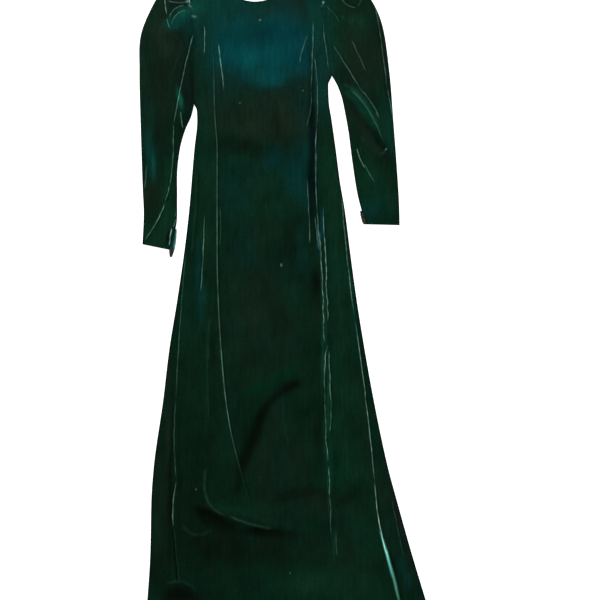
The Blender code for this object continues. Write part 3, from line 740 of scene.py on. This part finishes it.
def add_panel(name, x, y, z, colours, material, node, floor=0.2):
    """A panel's upper side, the thickness of its edge, and the edge turned in underneath."""
    rows, columns = x.shape
    border = turned_border(rows, columns)
    inner = np.stack([np.clip(border[:, 0], TURNING, rows - 1 - TURNING),
                      np.clip(border[:, 1], TURNING, columns - 1 - TURNING)], axis=1)
    flat = np.stack([x, y, z], axis=-1)
    edge, under = flat[border[:, 0], border[:, 1]], flat[inner[:, 0], inner[:, 1]]
    edge[:, 2] = np.maximum(edge[:, 2] - WALL, floor)
    under[:, 2] = np.maximum(under[:, 2] - WALL, floor)
    points = np.concatenate([flat.reshape(-1, 3), edge, under])
    # the edge and the turned-in underside get a painted shade: six tenths of the colour at the border
    edge_colour = colours[border[:, 0], border[:, 1]] * 0.6
    colours = np.concatenate([colours.reshape(-1, 3), edge_colour, edge_colour])
    count, around = rows * columns, len(border)
    top = border[:, 0] * columns + border[:, 1]
    one = count + np.arange(around)
    two = one + around
    faces = [grid_faces(rows, columns)]
    for upper, lower in ((top, one), (one, two)):
        faces.append(np.stack([np.roll(upper, -1), upper, lower, np.roll(lower, -1)], axis=1))
    return add_mesh(name, points, np.concatenate(faces), colours, material, node)


# ---------------------------------------------------------------- the body's panels
def hem_y(x):
    return HEM_Y + HEM_RISE * ((x - HEM_MIDDLE_X) / HEM_HALF_WIDTH) ** 2


def line_tops(start, end, step):
    count = max(2, int(math.dist(start, end) / step))
    return [tuple(np.array(start) + (np.array(end) - start) * k / count) for k in range(count)]


def neck_tops(start_angle, end_angle, step):
    count = max(3, int(NECK_RADIUS * abs(end_angle - start_angle) / step))
    angles = np.linspace(start_angle, end_angle, count + 1)
    return [(NECK_X + NECK_RADIUS * math.sin(a), NECK_Y - NECK_RADIUS * math.cos(a))
            for a in angles[:-1]]


def panel_places(first_edge, last_edge, tops, row_step):
    """A grid of places from the hem up, a column for each top point between two edges."""
    tops = np.array(tops, float)
    first, last = first_edge(tops[:, 1]), last_edge(tops[:, 1])
    across = (tops[:, 0] - first) / (last - first)
    hem_first, hem_last = first_edge(np.array(HEM_Y)), last_edge(np.array(HEM_Y))
    hem = hem_y(hem_first + (hem_last - hem_first) * across)
    shares = np.linspace(0, 1, int(1520 / row_step) + 1)[:, None]
    y = hem + shares * (tops[:, 1] - hem)
    left, right = first_edge(y) + 0.15, last_edge(y) - 0.15
    return left + (right - left) * across, y


def rolled(z, away, low):
    """Cloth that rolls over to a low edge: away is how far in from the edge it lies."""
    share = np.clip(away / EDGE_ROLL, 0, 1)
    return low + (z - low) * np.sqrt(np.maximum(0, 1 - (1 - share) ** 2))


def build_front(velvet):
    tip_right, tip_left = SIDE_RIGHT[-1][::-1], SIDE_LEFT[-1][::-1]
    top_right, top_left = SEAM_RIGHT[-1][::-1], SEAM_LEFT[-1][::-1]
    neck_angle = math.asin(NECK_HALF_WIDTH / NECK_RADIUS)
    neck_right = (NECK_X - NECK_HALF_WIDTH, NECK_POINT_Y)
    neck_left = (NECK_X + NECK_HALF_WIDTH, NECK_POINT_Y)
    centre = (line_tops(top_right, neck_right, EDGE_COLUMN_STEP)
              + neck_tops(-neck_angle, neck_angle, COLUMN_STEP)
              + line_tops(neck_left, top_left, EDGE_COLUMN_STEP) + [top_left])
    right = line_tops(tip_right, top_right, 0.155) + [top_right]
    left = line_tops(top_left, tip_left, 0.195) + [tip_left]
    made = []
    for name, first, last, tops in (
            ("front_centre", seam_right, seam_left, centre),
            ("front_side_right", side_right, seam_right, right),
            ("front_side_left", seam_left, side_left, left)):
        x, y = panel_places(first, last, tops, ROW_STEP)
        rise, shine, shade = body_height(x, y)
        z = FRONT_TOP + rise
        for seam, rows in ((seam_right, SEAM_RIGHT_SHOWS), (seam_left, SEAM_LEFT_SHOWS)):
            away = x - seam(y)
            pressed = 0.06 + 0.94 * smooth((y + 540) / 170) * smooth((620 - y) / 120)
            z = z - SEAM_DEPTH * pressed * np.exp(-((away / SEAM_WIDTH) ** 2))
            bright, dark = seam_marks(away, y, rows)
            shine, shade = np.maximum(shine, bright), np.maximum(shade, dark)
        sides = np.minimum(x - side_right(y), side_left(y) - x)
        underarm = np.where(x < NECK_X, SLEEVE_RIGHT[0][1], SLEEVE_LEFT[0][1])
        armhole = smooth((y - underarm) / 12)
        z = rolled(z, sides, 1.0 + 2.1 * armhole)
        shade = np.maximum(shade, (0.75 - 0.68 * armhole) * np.exp(-((sides / 3.0) ** 2)))
        neck = np.hypot(x - NECK_X, y - NECK_Y) - NECK_RADIUS
        z = z - 0.9 * np.exp(-((neck / 2.0) ** 2))
        shade = np.maximum(shade, NECK_EDGE_SHADE * np.exp(-((neck / 4.0) ** 2)))
        made.append(add_panel("gown_" + name, x, y, z, pile(x, y, shine, shade), velvet,
                              name))
    return made


def tucked_right(y):
    """The back's right edge, which the front's rolled side covers below the armhole."""
    return side_right(y) + BACK_INSET * smooth((SLEEVE_RIGHT[0][1] - y) / 14)


def tucked_left(y):
    return side_left(y) - BACK_INSET * smooth((SLEEVE_LEFT[0][1] - y) / 14)


def build_back(velvet):
    tip_right, tip_left = SIDE_RIGHT[-1][::-1], SIDE_LEFT[-1][::-1]
    neck_angle = math.asin(NECK_HALF_WIDTH / NECK_RADIUS)
    neck_right = (NECK_X - NECK_HALF_WIDTH, NECK_POINT_Y)
    neck_left = (NECK_X + NECK_HALF_WIDTH, NECK_POINT_Y)
    middle = (NECK_X, NECK_Y - NECK_RADIUS)
    right = (line_tops(tip_right, neck_right, BACK_COLUMN_STEP)
             + neck_tops(-neck_angle, 0, BACK_COLUMN_STEP) + [middle])
    left = (neck_tops(0, neck_angle, BACK_COLUMN_STEP)
            + line_tops(neck_left, tip_left, BACK_COLUMN_STEP) + [tip_left])
    made = []
    for name, first, last, tops in (
            ("back_right", tucked_right, seam_back, right),
            ("back_left", seam_back, tucked_left, left)):
        x, y = panel_places(first, last, tops, BACK_ROW_STEP)
        seam = 0.4 * np.exp(-(((x - seam_back(y)) / 4.0) ** 2))
        under = seam + 0.2 * (1 + ripple(x, y * 0.4, 90, 21))
        colours = pile(x, y, np.zeros(x.shape), np.zeros(x.shape), ())
        panel = add_panel("gown_" + name, x, y, -under, colours, velvet, name, -9.0)
        turn_over(panel)
        made.append(panel)
    return made


def turn_over(piece):
    """Turns a panel that was modelled face up so that its outside rests on the surface."""
    mesh = piece.data
    places = np.zeros(3 * len(mesh.vertices), np.float32)
    mesh.vertices.foreach_get("co", places)
    places = places.reshape(-1, 3)
    places[:, 2] = -places[:, 2]
    mesh.vertices.foreach_set("co", places.ravel())
    mesh.flip_normals()
    mesh.update()


# ---------------------------------------------------------------- sleeves
def blended_rows(rows, shares):
    """Rows between the rows of a table, smoothly blended, at shares of the table's length."""
    table = np.array(rows, float)
    place = shares * (len(table) - 1)
    i = np.minimum(place.astype(int), len(table) - 2)
    t = (place - i)[:, None]
    before, start, end = table[np.maximum(i - 1, 0)], table[i], table[i + 1]
    after = table[np.minimum(i + 2, len(table) - 1)]
    pull_in, pull_out = (end - before) / 2, (after - start) / 2
    return ((2 * t ** 3 - 3 * t ** 2 + 1) * start + (t ** 3 - 2 * t ** 2 + t) * pull_in
            + (3 * t ** 2 - 2 * t ** 3) * end + (t ** 3 - t ** 2) * pull_out)


# The gathers of a sleeve head: where along the armhole each pleat starts, from the underarm to
# the shoulder, how far it runs into the sleeve, how wide it is, and how high.
GATHERS = [
    # place, reach, width, height
    (0.34, 0.16, 0.030, 1.6), (0.45, 0.24, 0.026, 2.2), (0.53, 0.18, 0.022, 2.6),
    (0.60, 0.30, 0.026, 2.8), (0.67, 0.20, 0.020, 3.0), (0.73, 0.27, 0.022, 3.2),
    (0.79, 0.22, 0.018, 3.4), (0.84, 0.32, 0.020, 3.4), (0.89, 0.20, 0.016, 3.4),
    (0.94, 0.26, 0.016, 2.8),
]


def gathered(along, u, shift):
    """The height of the gathers, which fan out from the armhole and fade."""
    total = np.zeros(u.shape)
    for place, reach, width, height in GATHERS:
        middle = place + shift + 0.25 * along * (place - 0.6)
        spread = width * (1 + 2.6 * along / reach)
        fade = smooth(along / 0.02) * (1 - smooth(along / reach))
        total += height * fade * np.exp(-(((u - middle) / spread) ** 2))
    return total


def build_sleeve(name, rows, armhole, outward, shift, velvet):
    along = np.linspace(0, 1, SLEEVE_STEPS + 1)
    in_x, in_y, out_x, out_y, crown = (c[:, None] for c in blended_rows(rows, along).T)
    spread = (1 - np.cos(np.linspace(0, math.pi, SLEEVE_COLUMNS + 1))) / 2
    even = np.linspace(0, 1, SLEEVE_COLUMNS + 1)
    upper_u = 0.25 * spread + 0.75 * even
    under_u = np.linspace(1, 0, SLEEVE_UNDER_COLUMNS + 1)[1:-1]
    u = np.concatenate([upper_u, under_u])[None, :] + 0 * in_x
    along = along[:, None]
    first_y = rows[0][1] + (rows[0][3] - rows[0][1]) * u
    bend = armhole(first_y) - (rows[0][0] + (rows[0][2] - rows[0][0]) * u)
    x = in_x + (out_x - in_x) * u + bend * (1 - smooth(along / 0.2)) - outward * 0.2
    y = in_y + (out_y - in_y) * u
    width = np.hypot(out_x - in_x, out_y - in_y)
    edge = np.minimum(u, 1 - u) * width
    puff = crown * np.sin(math.pi * np.clip(u, 0, 1)) ** 0.8 * (0.1 + 0.9 * smooth(along / 0.07))
    crease, shine, shade = creased(SLEEVE_CREASES, x, y, 300)
    inside = smooth(edge / 4) * smooth(along / 0.02)
    rise = puff + (broad_folds(x, y) + fine_rumple(x, y) * 1.5) * smooth(edge / 30) * smooth(along / 0.1)
    rise += crease * inside + gathered(along, u, shift) * smooth(edge / 8)
    seam = np.exp(-((along * 700 / 2.2) ** 2))
    z = FRONT_TOP + np.maximum(0, rise) - 0.3 * seam
    middle = 1.4
    roll = np.clip(edge / (3.0 + 0.45 * crown), 0, 1)
    z = middle + (z - middle) * np.sqrt(np.maximum(0, 1 - (1 - roll) ** 2))
    upper = len(upper_u)
    z[:, upper:] = 0.15 + 0.9 * (1 - smooth(edge[:, upper:] / 6))
    shine, shade = shine * inside, shade * inside
    shade = np.maximum(shade, 0.7 * np.exp(-((edge / 2.6) ** 2)))
    shade = np.maximum(shade, 0.10 * np.exp(-((along * 700 / 3.0) ** 2)))
    colours = pile(x, y, shine, shade)
    below = np.s_[:, upper:]
    colours[below] = pile(x[below], y[below], 0 * shine[below], shade[below], ())
    rings, columns = x.shape
    flat = np.stack([x, y, z], axis=-1)
    toward = np.where(np.arange(columns)[None, :, None] < upper, -1.0, 1.0)
    inner = []
    for ring, step in ((rings - 1, -5), (0, 4)):
        start, deep = flat[ring].copy(), flat[ring + step].copy()
        for places in (start, deep):
            places[:, 2] += (toward[0, :, 0]) * 0.9 * WALL
            low, high = 0.6, FRONT_TOP + 30
            places[:, 2] = np.clip(places[:, 2], low, high)
        inner.append((ring, start, deep))
    points, tints = [flat.reshape(-1, 3)], [colours.reshape(-1, 3)]
    faces = [grid_faces(rings, columns, closed=True)]
    count = rings * columns
    for ring, start, deep in inner:
        outer_ring = ring * columns + np.arange(columns)
        one, two = count + np.arange(columns), count + columns + np.arange(columns)
        points += [start, deep]
        # the cloth turned in at the cuff and the armhole gets painted shade: half, then three tenths of
        # the colour of its ring
        tints += [colours[ring] * 0.5, colours[ring] * 0.3]
        count += 2 * columns
        for a, b in ((outer_ring, one), (one, two)):
            quad = [a, np.roll(a, -1), np.roll(b, -1), b]
            if ring == 0:
                quad = quad[::-1]
            faces.append(np.stack(quad, axis=1))
    return add_mesh("gown_" + name, np.concatenate(points), np.concatenate(faces),
                    np.concatenate(tints), velvet, name)


def build_underlap(name, rows, right_side, backing):
    """The strip beside a cuff's slit, slightly cupped. Its lower part shows the raw side."""
    table = np.array(rows[::-1], float)
    y = np.linspace(table[0, 2], table[-1, 2], 60)
    inner, outer = np.interp(y, table[:, 2], table[:, 0]), np.interp(y, table[:, 2], table[:, 1])
    inner = inner + math.copysign(UNDER_SLEEVE, inner[0] - outer[0])
    left, right = np.minimum(inner, outer), np.maximum(inner, outer)
    share = np.linspace(0, 1, 17)[None, :]
    x = left[:, None] + (right - left)[:, None] * share
    y = y[:, None] + 0 * share
    z = 1.5 + 1.1 * np.sin(math.pi * share) + 0.25 * ripple(x, y, 12, 41)
    raw = np.ones(x.shape + (3,)) * BACKING
    raw *= (1 + 0.9 * ripple(x, y, 5, 42))[..., None]
    green = np.ones(x.shape + (3,)) * TINTS["sea"]
    # a painted highlight along the strip's edge at its larger x
    green += np.exp(-(((1 - share) / 0.22) ** 2))[..., None] * np.array((0.16, 0.26, 0.24))
    shown = smooth((y - right_side) / 8)[..., None]
    return add_panel("gown_" + name, x, y, z, np.maximum(raw + (green - raw) * shown, 0.003),
                     backing, name)


# ---------------------------------------------------------------- materials
def cloth_material(name, roughness, sheen, sheen_tint, mottle):
    """Cloth coloured by the attribute that holds its tone and painted light, with a fine uneven pile."""
    material = bpy.data.materials.new(name)
    material.use_nodes = True
    nodes, links = material.node_tree.nodes, material.node_tree.links
    shader = nodes["Principled BSDF"]
    shader.inputs["Roughness"].default_value = roughness
    shader.inputs["Specular IOR Level"].default_value = 0.02
    shader.inputs["Sheen Weight"].default_value = sheen
    shader.inputs["Sheen Roughness"].default_value = 0.45
    shader.inputs["Sheen Tint"].default_value = sheen_tint
    tone_and_painted_light = nodes.new("ShaderNodeAttribute")
    tone_and_painted_light.attribute_name = "tone_and_painted_light"
    place = nodes.new("ShaderNodeTexCoord")

    def noise(stretch, scale, detail, low, high):
        spread = nodes.new("ShaderNodeMapping")
        spread.inputs["Scale"].default_value = stretch
        links.new(place.outputs["Object"], spread.inputs["Vector"])
        texture = nodes.new("ShaderNodeTexNoise")
        texture.inputs["Scale"].default_value = scale
        texture.inputs["Detail"].default_value = detail
        links.new(spread.outputs["Vector"], texture.inputs["Vector"])
        shift = nodes.new("ShaderNodeMapRange")
        shift.inputs["From Min"].default_value = 0.3
        shift.inputs["From Max"].default_value = 0.7
        shift.inputs["To Min"].default_value = low
        shift.inputs["To Max"].default_value = high
        links.new(texture.outputs["Fac"], shift.inputs["Value"])
        return texture, shift

    tufts, tuft_shade = noise((1, 0.7, 1), 210, 3, 1 - mottle, 1 + mottle)
    streaks, streak_shade = noise((1, 0.16, 1), 120, 2, 1 - 0.8 * mottle, 1 + 0.8 * mottle)
    both = nodes.new("ShaderNodeMath")
    both.operation = "MULTIPLY"
    links.new(tuft_shade.outputs["Result"], both.inputs[0])
    links.new(streak_shade.outputs["Result"], both.inputs[1])
    tinted = nodes.new("ShaderNodeVectorMath")
    tinted.operation = "SCALE"
    links.new(tone_and_painted_light.outputs["Color"], tinted.inputs[0])
    links.new(both.outputs["Value"], tinted.inputs["Scale"])
    links.new(tinted.outputs["Vector"], shader.inputs["Base Color"])
    pile_ends, _ = noise((1, 1, 1), 900, 2, 0, 1)
    bump = nodes.new("ShaderNodeBump")
    bump.inputs["Strength"].default_value = 0.35
    bump.inputs["Distance"].default_value = 0.0005
    links.new(pile_ends.outputs["Fac"], bump.inputs["Height"])
    links.new(bump.outputs["Normal"], shader.inputs["Normal"])
    return material


velvet = cloth_material("velvet_pile", 0.92, 0.035, (0.10, 0.80, 0.55, 1.0), 0.13)
backing = cloth_material("velvet_wrong_side", 0.97, 0.05, (0.6, 0.6, 0.6, 1.0), 0.30)

# ---------------------------------------------------------------- the gown
fronts = build_front(velvet)
backs = build_back(velvet)
sleeve_right = build_sleeve("sleeve_right", SLEEVE_RIGHT, side_right, -1, 0.0, velvet)
sleeve_left = build_sleeve("sleeve_left", SLEEVE_LEFT, side_left, 1, 0.02, velvet)
underlap_right = build_underlap("cuff_underlap_right", UNDERLAP_RIGHT, 108, backing)
underlap_left = build_underlap("cuff_underlap_left", UNDERLAP_LEFT, 230, backing)

# ---------------------------------------------------------------- the surface, light and camera
bpy.ops.mesh.primitive_plane_add(size=12, location=(0, 0, -0.0004))
floor = bpy.context.object
floor.name = "surface"
white = bpy.data.materials.new("surface_white")
white.use_nodes = True
paper = white.node_tree.nodes["Principled BSDF"]
paper.inputs["Base Color"].default_value = (0.9, 0.9, 0.9, 1)
paper.inputs["Roughness"].default_value = 1.0
paper.inputs["Specular IOR Level"].default_value = 0.0
paper.inputs["Emission Color"].default_value = (1, 1, 1, 1)
paper.inputs["Emission Strength"].default_value = 0.75
floor.data.materials.append(white)

# ---------------------------------------------------------------- how large each piece was cut
def panel_cut(first, last, top, neck=0.0):
    """A panel's flat size in metres between its seams, and its area less any of the neck."""
    y = np.linspace(HEM_Y, top, 600)
    across = last(y) - first(y)
    area = across.mean() * (top - HEM_Y) - neck
    width = last(y).max() - first(y).min()
    return round(width * MM, 3), round((top - HEM_Y) * MM, 3), area * MM * MM


def sleeve_cut(rows):
    """A sleeve's flat size in metres, all round, with the fullness of its gathered head."""
    table = np.array(rows, float)
    inner, outer = table[:, 0:2], table[:, 2:4]
    ring = np.concatenate([inner, outer[::-1]])
    after = np.roll(ring, -1, axis=0)
    laid = abs((ring[:, 0] * after[:, 1] - after[:, 0] * ring[:, 1]).sum()) / 2
    middle = (inner + outer) / 2
    length = np.hypot(*np.diff(middle, axis=0).T).sum() + HEAD
    area = 2 * laid * FULLNESS
    return round(area / length / TAPER * MM, 3), round(length * MM, 3), area * MM * MM


neck_cut = 0.5 * math.pi * NECK_RADIUS ** 2 - 2 * NECK_RADIUS * (NECK_Y - NECK_POINT_Y)
for panel, cut in zip(fronts + backs, (
        panel_cut(seam_right, seam_left, 760, neck_cut),
        panel_cut(side_right, seam_right, 750),
        panel_cut(seam_left, side_left, 754),
        panel_cut(side_right, seam_back, 757, neck_cut / 2),
        panel_cut(seam_back, side_left, 757, neck_cut / 2))):
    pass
for sleeve, rows, underlap in ((sleeve_right, SLEEVE_RIGHT, underlap_right),
                               (sleeve_left, SLEEVE_LEFT, underlap_left)):
    cut = sleeve_cut(rows)

scene = bpy.context.scene
scene.view_settings.view_transform = "Standard"
scene.view_settings.look = "None"
world = bpy.data.worlds.new("soft_room")
world.use_nodes = True
world.node_tree.nodes["Background"].inputs["Color"].default_value = (1, 1, 1, 1)
world.node_tree.nodes["Background"].inputs["Strength"].default_value = 0.55
scene.world = world


def add_light(name, place, aim, size, power):
    light = bpy.data.lights.new(name, "AREA")
    light.shape = "RECTANGLE"
    light.size, light.size_y = size
    light.energy = power
    lamp = bpy.data.objects.new(name, light)
    lamp.location = place
    direction = Vector(aim) - Vector(place)
    lamp.rotation_euler = direction.to_track_quat("-Z", "Y").to_euler()
    scene.collection.objects.link(lamp)
    return lamp


add_light("key", (-1.6, 2.6, 2.6), (0, 0, 0), (2.2, 1.4), 95)
add_light("fill", (2.6, -1.2, 2.8), (0, 0, 0), (2.4, 2.4), 30)

camera = bpy.data.cameras.new("camera")
camera.lens = 70
camera.sensor_width = 36
camera.clip_end = 100
eye = bpy.data.objects.new("camera", camera)
VIEW_X, VIEW_Y, VIEW_WIDTH = 0.03525, -0.00705, 1.41
eye.location = (VIEW_X, VIEW_Y, VIEW_WIDTH * camera.lens / camera.sensor_width + 0.006)
scene.collection.objects.link(eye)
scene.camera = eye
